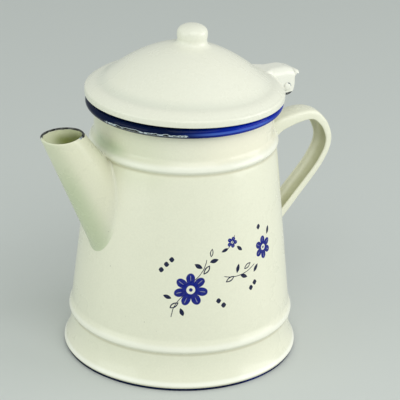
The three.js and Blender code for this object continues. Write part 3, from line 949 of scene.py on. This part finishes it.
def spout_start(turn, inset):
    """Distance down at which a line along the spout leaves the mouth's plane."""
    normal = Vector((-sin(MOUTH_TILT), 0, cos(MOUTH_TILT)))
    near, far = spout_point(turn, 0.0, inset), spout_point(turn, 0.01, inset)
    fall = (near - far).dot(normal) / 0.01
    return (near - MOUTH).dot(normal) / fall


def on_wall(point, lift=0.0):
    """The point moved square to the axis onto the wall's face."""
    out = Vector((point.x, point.y, 0)).normalized()
    return Vector((0, 0, point.z)) + out * (wall_radius(point.z) + lift)


def meets_wall(track, low, high):
    """The share of the track, from low outside the wall to high inside it, where it meets it."""
    for _ in range(32):
        middle = (low + high) / 2
        point = track(middle)
        if hypot(point.x, point.y) > wall_radius(point.z):
            low = middle
        else:
            high = middle
    return (low + high) / 2


def spout_piece():
    """One closed form: inner face, rounded lip, outer face and the fillet onto the wall."""
    columns, run_steps = 128, 24

    def section(turn):
        outer_start, inner_start = spout_start(turn, 0), spout_start(turn, SHEET)
        outer_end = meets_wall(lambda s: spout_point(turn, s), outer_start, SPOUT_REACH)
        inner_end = meets_wall(lambda s: spout_point(turn, s, SHEET), inner_start, SPOUT_REACH)
        lip = inner_start + SHEET / 2
        points = [spout_point(turn, inner_end + (lip - inner_end) * share, SHEET)
                  for share in shares(run_steps)[:-1]]
        dip = POUR_DIP * max(0.0, cos(turn - POUR_TURN)) ** 2
        start = (outer_start + inner_start) / 2 + SHEET / 2 + dip
        points += [spout_point(turn, start - SHEET / 2 * sin(pi * share), SHEET * eased(share))
                   for share in shares(8)]
        fillet_start = outer_end - SPOUT_FILLET
        down = outer_start + SHEET / 2 + dip
        points += [spout_point(turn, down + (fillet_start - down) * share)
                   for share in shares(run_steps)[1:-1]]
        corner = spout_point(turn, outer_end)
        aside = spout_point(turn, outer_end, -SPOUT_FILLET) - corner
        landing = on_wall(corner + aside, -EMBED / 4)
        points += swept(spout_point(turn, fillet_start), on_wall(corner), landing, 10)
        return [*points, on_wall(landing.lerp(points[0], 0.3), -EMBED), points[0]]

    sections = [section(2 * pi * (i % columns) / columns) for i in range(columns + 1)]
    rows = len(sections[0]) - 1
    bm = bent_grid(columns, rows, lambda u, v: sections[round(u * columns)][round(v * rows)],
                   lambda u, v: 1.0 if round(v * rows) in (*range(run_steps), rows) else 0.0)
    piece("spout", bm, "pot", "spout_enamel", spout_enamel(), "spout_tube", sharp=60)


def spout_enamel():
    """Cream enamel, stained and painted with light and shade inside, painted shade on its outer
    flank, its lip worn through to dark steel on the far side.
    """
    g = Paint("spout_enamel")
    _, reach, height = g.polar()
    joint = g.fall(g.scaled(height, WALL_SLOPE, reach), WALL_REACH + 0.0005, WALL_REACH + 0.0075)
    film = g.film(g.blend(joint, SPOUT_CREAM, CREAM), 0.3, 0.4, 0.26, 0.7)
    x, y, z = g.parts()
    out, rise = g.minus(x, MOUTH.x), g.minus(z, MOUTH.z)
    side = g.scaled(out, SPOUT_SIDE.x, g.product(rise, SPOUT_SIDE.z))
    down = g.scaled(out, SPOUT_DOWN.x, g.product(rise, SPOUT_DOWN.z))
    share = g.math("DIVIDE", side, g.scaled(down, DEPTH_TAPER, MOUTH_DEPTH))
    # painted shade with a green reflection on the outer flank, away from the pot, most towards the
    # root
    shaded_flank = g.product(g.span(share, -0.95, -0.3, 0.75, 0.0), g.span(down, 0.002, 0.035, 0.4, 1.0))
    outside = g.blend(shaded_flank, film["Colour"], FLANK_SHADE_GREEN)
    # inside: painted light, and deeper in painted shade with an olive stain
    depth = g.minus(g.scaled(out, tan(MOUTH_TILT), MOUTH.z), z)
    deep = g.product(g.span(depth, 0.0025, 0.009), g.span(share, -0.45, 0.3))
    inside = g.blend(deep, INNER_PAINTED_LIGHT, OLIVE_DEEP)
    colour = g.hollow_stain_and_shade(outside, inside, 0.95)
    away = g.scaled(out, 0.55, g.product(y, 0.83))
    worn = g.product(g.fall(depth, 0.0006, 0.0018), g.span(away, -0.006, 0.001, 0.62, 1.35))
    return g.finish_chipped(film, colour, worn, 330.0, 0.03)


# ---- Handle

# Shares of the way from the neck out to the reach, and from the foot up to the top.
HANDLE_SHARES = [
    (-0.03, 0.83), (0.08, 0.92), (0.21, 0.97), (0.36, 0.99), (0.51, 1.0), (0.65, 0.998),
    (0.77, 0.972), (0.874, 0.908), (0.943, 0.84), (0.996, 0.735), (0.978, 0.632),
    (0.903, 0.537), (0.8, 0.446), (0.55, 0.27), (0.345, 0.125), (0.1, -0.05),
]


def spline_path(points, steps):
    """Points spaced evenly along a smooth curve through the given ones."""
    ends = [points[0] * 2 - points[1], *points, points[-1] * 2 - points[-2]]
    fine = []
    for a, b, c, d in zip(ends, ends[1:], ends[2:], ends[3:]):
        for t in shares(24)[:-1]:
            fine.append(0.5 * ((2 * b) + (c - a) * t + (2 * a - 5 * b + 4 * c - d) * t * t
                               + (3 * b - a - 3 * c + d) * t ** 3))
    fine.append(points[-1])
    runs = [0.0]
    for before, after in zip(fine, fine[1:]):
        runs.append(runs[-1] + (after - before).length)
    even, k = [], 0
    for share in shares(steps):
        goal = runs[-1] * share
        while k < len(runs) - 2 and runs[k + 1] < goal:
            k += 1
        even.append(fine[k].lerp(fine[k + 1], (goal - runs[k]) / (runs[k + 1] - runs[k])))
    return even


# How dirty the channel is, and how much shade is painted into it, from the edge of its side down to
# its floor; most shade on the near side.
FAR_SOIL_AND_SHADE = (0.0, 0.0, 0.05, 0.15, 0.28, 0.42, 0.54)
NEAR_SOIL_AND_SHADE = (0.3, 0.6, 1.0, 1.0, 0.95, 0.85, 0.76)
MIDDLE_SOIL_AND_SHADE = 0.68


def strap_ring():
    """The channel's section: across, depth from its back, share of the sides' depth, hollow."""
    half = STRAP_WIDTH / 2
    inner_half = half - STRAP_SHEET
    side_top = STRAP_DEPTH - STRAP_SHEET / 2
    turned = half - STRAP_CORNER
    crown = [(turned * share, STRAP_CROWN * share ** 2) for share in shares(5)[:-1]]
    back = swept((turned, STRAP_CROWN), (half, STRAP_CROWN * 1.4), (half, side_top), 7)
    ring = [(across, depth, 0, 0.0) for across, depth in [*crown, *back[:-1]]]
    ring += [(inner_half + STRAP_SHEET * eased(share),
              STRAP_SHEET / 2 * (sin(pi * share) - 1), 1, share / 10) for share in shares(6)]
    floor = swept((inner_half, side_top), (inner_half, STRAP_SHEET + STRAP_CROWN),
                  (half * 0.4, STRAP_SHEET + STRAP_CROWN * 0.25), 7)
    bends = len(ring)
    ring += [(across, depth, 0, soil_and_shade) for (across, depth), soil_and_shade in zip(floor[1:], FAR_SOIL_AND_SHADE)]
    ring.append((0.0, STRAP_SHEET, 0, MIDDLE_SOIL_AND_SHADE))
    near = [(-across, *rest) for across, *rest in ring]
    for i, soil_and_shade in enumerate(NEAR_SOIL_AND_SHADE):
        near[bends + i] = (*near[bends + i][:3], soil_and_shade)
    return ring + near[-2:0:-1]


def handle_piece():
    path_steps = 400
    points = [Vector((NECK_RADIUS + (HANDLE_REACH - NECK_RADIUS) * out, 0,
                      HANDLE_FOOT + (HANDLE_TOP - HANDLE_FOOT) * up)) for out, up in HANDLE_SHARES]
    path = spline_path(points, path_steps)
    path_length = sum((after - before).length for before, after in zip(path, path[1:]))

    ring = strap_ring()
    count = len(ring)

    def section_point(k, share):
        across, depth, side, _ = ring[k % count]
        root = STRAP_TOP_DEPTH if share < 0.5 else STRAP_FOOT_DEPTH
        depth += side * (STRAP_DEPTH + (root - STRAP_DEPTH) * (2 * share - 1) ** 2)
        along = min(max(share, 0.0), 1.0) * path_steps
        i = min(int(along), path_steps - 1)
        run = (path[min(i + 7, path_steps)] - path[max(i - 6, 0)]).normalized()
        middle = path[i].lerp(path[i + 1], along - i)
        return middle + Vector((run.z, 0, -run.x)) * depth + Vector((0, across, 0))

    ends = [(meets_wall(lambda s: section_point(k, s), 0.3, 0.0),
             meets_wall(lambda s: section_point(k, s), 0.6, 1.0)) for k in range(count)]

    def place(u, v):
        k = round(u * count) % count
        upper, lower = ends[k]
        share = upper + (lower - upper) * v
        point = section_point(k, share)
        before, after = section_point(k - 1, share), section_point(k + 1, share)
        run = section_point(k, min(share + 0.01, 1)) - section_point(k, max(share - 0.01, 0))
        normal = (after - before).cross(run).normalized()
        away = min(share - upper, lower - share) * path_length
        if away < HANDLE_FILLET:
            rest = 1 - away / HANDLE_FILLET
            point = point + normal * (HANDLE_FILLET * HANDLE_FLARE * rest ** 2.2)
        if v in (0.0, 1.0):
            point = on_wall(point, -EMBED)
        return point

    bm = bent_grid(count, 150, place, lambda u, v: ring[round(u * count) % count][3])
    bmesh.ops.holes_fill(bm, edges=[e for e in bm.edges if e.is_boundary], sides=0)
    piece("handle", bm, "pot", "handle_enamel", handle_enamel(), "handle_strap", sharp=60)


# ---- Lid

CREASE = LID_RADIUS - BRIM_WIDTH


def domed(radius):
    """Height of the dome's outer face, with the lid level."""
    return LID_HEIGHT + BRIM_RISE + DOME_RISE * (1 - (radius / CREASE) ** DOME_CURVE)


def lid_top():
    """The lid's outer face, from the middle of the dome out to its bend, and the bend."""
    dome = [(CREASE * share, domed(CREASE * share)) for share in shares(28)]
    edge = arc((LID_RADIUS - LID_BEND, LID_HEIGHT), LID_BEND, 70, 0, 10)
    crown = (CREASE + (edge[0][0] - CREASE) * BRIM_FULLNESS, LID_HEIGHT + BRIM_RISE - BRIM_CROWN)
    brim = swept(dome[-1], crown, edge[0], 12)
    crease_bend = rounded([dome[-4], dome[-1], brim[5]], CREASE_BEND, 10)
    return [*dome[:-4], *crease_bend, *brim[6:-1]], edge


def lid_face(radius):
    """Height of the lid's outer face at a distance from the axis, with the lid level."""
    top, edge = lid_top()
    return read_off([*top, *edge], radius)


def tilted(bm):
    """Turns the lid's form about the pin to where it rests."""
    bmesh.ops.rotate(bm, verts=bm.verts, cent=PIN, matrix=Matrix.Rotation(LID_AJAR, 3, "Y"))
    return bm


def lid_piece():
    """The dome, crease and brim, its edge turned down to hang round the rim."""
    top, edge = lid_top()
    under = shifted(top, -SHEET)
    under[0] = (0, under[0][1])
    foot = (LID_RADIUS - SHEET / 2, LID_HEIGHT - LID_SKIRT + SHEET / 2)
    hem = arc(foot, SHEET / 2, 0, -180, 8)
    inside = arc((LID_RADIUS - LID_BEND, LID_HEIGHT), LID_BEND - SHEET, 0, 70, 6)
    outline = [*top, *edge, *hem, *inside, *reversed(under)]
    piece("lid", tilted(spun(outline)), "lid", "lid_enamel", lid_enamel(), "lid_shell",
          sharp=60)


def lid_enamel():
    """Smooth cream enamel with a faint green painted shade in the crease, most on the spout's side.
    """
    g = Paint("lid_enamel")
    film = g.film(LID_CREAM, 0.25, 0.0, 0.24, 0.12)
    angle, reach, _ = g.polar()
    shade = g.product(g.fall(g.apart(reach, CREASE), 0.0, 0.005),
                      g.span(g.turned(angle, pi), 0.6, 2.2, 0.35, 0.08))
    return g.finish(g.blend(shade, film["Colour"], LID_SHADE), film)


def collar_piece():
    radius = NECK_RADIUS - SHEET - COLLAR_CLEARANCE
    low = LID_HEIGHT - COLLAR_DROP
    top = LID_HEIGHT + BRIM_RISE - SHEET
    outline = rounded([
        (radius, top), (radius, low + COLLAR_LEAD), (radius - 0.75 * COLLAR_LEAD, low),
        (radius - COLLAR_SHEET, low), (radius - COLLAR_SHEET, top)], 0.5 * COLLAR_LEAD)
    piece("lid_collar_ring", tilted(spun(outline)), "lid", "collar_enamel",
          cream_enamel("collar_enamel", 0.5, 0.8, 0.24, CREAM, CREAM_GREEN), "lid_collar")


def knob_piece():
    """The hollow knob is brazed on, so its foot runs out onto the dome in a small fillet."""
    base = domed(KNOB_OFFSET)
    neck = KNOB_RADIUS - KNOB_PINCH
    cap = KNOB_FOOT + KNOB_SIDE
    outline = [(0.0, -EMBED), (neck + KNOB_FILLET, -EMBED / 3)]
    outline += swept((neck + KNOB_FILLET, 0), (neck, 0), (neck, KNOB_FOOT * 0.7), 10)
    outline += swept((neck, KNOB_FOOT * 0.8), (KNOB_RADIUS, KNOB_FOOT), (KNOB_RADIUS, cap), 6)
    turns = [pi / 2 * share for share in shares(20)[1:-1]]
    outline += [(KNOB_RADIUS * cos(turn) ** KNOB_FULLNESS,
                 cap + KNOB_CAP * sin(turn) ** KNOB_FULLNESS) for turn in turns]
    outline.append((0.0, cap + KNOB_CAP))
    bm = spun(outline, SMALL_STEPS)
    bmesh.ops.translate(bm, verts=bm.verts, vec=(KNOB_OFFSET, 0, 0))
    for vert in bm.verts:
        fall = domed(hypot(vert.co.x, vert.co.y)) - base
        level = min(max(vert.co.z / KNOB_FOOT, 0.0), 1.0)
        vert.co.z += base + fall * (1 - level)
    piece("knob", tilted(bm), "lid", "knob_enamel",
          cream_enamel("knob_enamel", 0.3, 0.2, 0.24, LID_CREAM, ripple=0.3), "lid_knob", sharp=60)


def rivet_piece():
    head_top = domed(KNOB_OFFSET + RIVET_HEAD) - SHEET - RIVET_DROP
    head = [(radius, head_top - 0.9 * drop)
            for radius, drop in button(RIVET_HEAD, RIVET_HEAD_HEIGHT)]
    outline = [
        (0, head_top - RIVET_HEAD_HEIGHT), *head, (RIVET_RADIUS, head_top),
        (RIVET_RADIUS, head_top + RIVET_REACH), (0, head_top + RIVET_REACH)]
    bm = spun(outline, SMALL_STEPS)
    bmesh.ops.translate(bm, verts=bm.verts, vec=(KNOB_OFFSET, 0, 0))
    piece("rivet", tilted(bm), "lid", "rivet_steel", steel("rivet_steel"), "knob_rivet")


# ---- Hinge

def cap_piece():
    """The cap is one sheet folded down into two cheeks, its back drawn out to a thumb lip."""
    front, back, tip = PIN.x - CAP_FRONT, PIN.x + CHEEK_RADIUS, PIN.x + THUMB_REACH
    crest = PIN.z + CAP_RISE
    ridge = rounded([
        (front - CAP_FOLD, crest), (PIN.x, crest), (back, crest - CAP_FALL),
        (tip, crest - CAP_FALL - THUMB_FALL)], CAP_BEND, 6)

    def bottom(x):
        if x > back:
            return read_off(ridge, x) - CAP_FOLD * max(THUMB_FOLD, 1 - (x - back) / (tip - back))
        if x > PIN.x:
            return PIN.z - sqrt(max(CHEEK_RADIUS ** 2 - (x - PIN.x) ** 2, 0))
        if hypot(x, half) > LID_RADIUS:
            edge = sqrt(LID_RADIUS ** 2 - half ** 2)
            share = (x - edge) / (PIN.x - edge)
            low = LID_HEIGHT - LID_BEND
            return low + (PIN.z - CHEEK_RADIUS - low) * sin(pi / 2 * share)
        return lid_face(hypot(x, half)) - EMBED / 3

    half = LEAF_WIDTH / 2
    stops = [front + (back - front) * share for share in shares(44)[:-1]]
    stops += [back, *(back + 0.00015 + (tip - back) * share for share in shares(10))]

    def place(u, v):
        x = stops[round(v * (len(stops) - 1))]
        high, low = read_off(ridge, x), bottom(x)
        fold = min(CAP_FOLD, max(high - low, CAP_LEAST_FOLD))
        flat, bend = half - fold, fold * pi / 2
        run = abs(2 * u - 1) * (high - fold - low + bend + flat)
        side = 1 if u > 0.5 else -1
        if run < flat:
            return Vector((x, side * run, high))
        if run < flat + bend:
            turn = (run - flat) / fold
            return Vector((x, side * (flat + fold * sin(turn)), high - fold * (1 - cos(turn))))
        height = high - fold - (run - flat - bend)
        near = max(1 - (height - low) / CHEEK_FLARE, 0.0)
        over_lid = min(max((LID_RADIUS - x) / LID_BEND, 0.0), 1.0)
        return Vector((x, side * (half + CHEEK_FLARE * 0.6 * near ** 2 * over_lid), height))

    bm = bent_grid(64, len(stops) - 1, place)
    bmesh.ops.recalc_face_normals(bm, faces=bm.faces)
    upper = max(bm.faces, key=lambda face: face.calc_center_median().z)
    if upper.normal.z < 0:
        bmesh.ops.reverse_faces(bm, faces=bm.faces)
    bmesh.ops.solidify(bm, geom=bm.faces[:], thickness=STRAP_SHEET)
    piece("hinge_cap_fold", tilted(bm), "lid", "hinge_enamel", hinge_enamel(), "hinge_cap",
          sharp=50)


def hinge_enamel():
    """Cream enamel, broken off to dark steel at the round ends of the cheeks."""
    g = Paint("hinge_enamel")
    film = g.film(HINGE_CREAM, 0.2, 0.3, 0.26, 0.6)
    foot = PIN.z - CHEEK_RADIUS
    low = g.span(g.parts()[2], foot + 0.0009, foot + 0.0024, 1.7, 0.0)
    return g.finish_chipped(film, film["Colour"], low, 420.0, 0.02)


def pin_enamel():
    """The pin's heads were enamelled with the rest, and the hinge has worn a ring on them."""
    g = Paint("pin_enamel")
    film = g.film(HINGE_CREAM, 0.3, 0.0, 0.3, 0.4)
    x, _, z = g.parts()
    out, up = g.minus(x, PIN.x), g.minus(z, PIN.z)
    ring = g.product(g.span(g.length(out, up), PIN_HEAD * 0.5, PIN_HEAD * 0.85, 0.3, 1.0),
                     g.span(g.plus(up, out), 0.0008, 0.0026, 0.1, 1.15))
    return g.finish_chipped(film, film["Colour"], ring, 520.0, 0.06)


def pin_piece():
    half = LEAF_WIDTH / 2 + PIN_PLAY
    head = [(radius, -half - drop) for radius, drop in button(PIN_HEAD, PIN_HEAD_HEIGHT)]
    outline = [(0, -half - PIN_HEAD_HEIGHT), *head, (PIN_RADIUS, -half)]
    outline += [(radius, -height) for radius, height in reversed(outline)]
    bm = spun(outline, 48)
    bmesh.ops.rotate(bm, verts=bm.verts, cent=(0, 0, 0), matrix=Matrix.Rotation(pi / 2, 3, "X"))
    bmesh.ops.translate(bm, verts=bm.verts, vec=PIN)
    piece("pin", bm, "pot", "pin_enamel", pin_enamel(), "hinge_pin")


def paint_kept_nodes():
    """The hinge bracket and the wire keep their CAD shape and get a finish of their own."""
    bracket = cream_enamel("bracket_enamel", 0.5, 0.8, 0.2)
    for name, material in (("hinge_bracket", bracket), ("rim_wire", steel("wire_steel"))):
        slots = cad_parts[name].data.materials
        slots.clear()
        slots.append(material)


place_camera()
light_studio()
lay_floor()
body_piece()
bottom_piece()
rim_piece()
spout_piece()
handle_piece()
lid_piece()
collar_piece()
knob_piece()
rivet_piece()
cap_piece()
pin_piece()
paint_kept_nodes()

bpy.context.scene.view_settings.view_transform = "Standard"
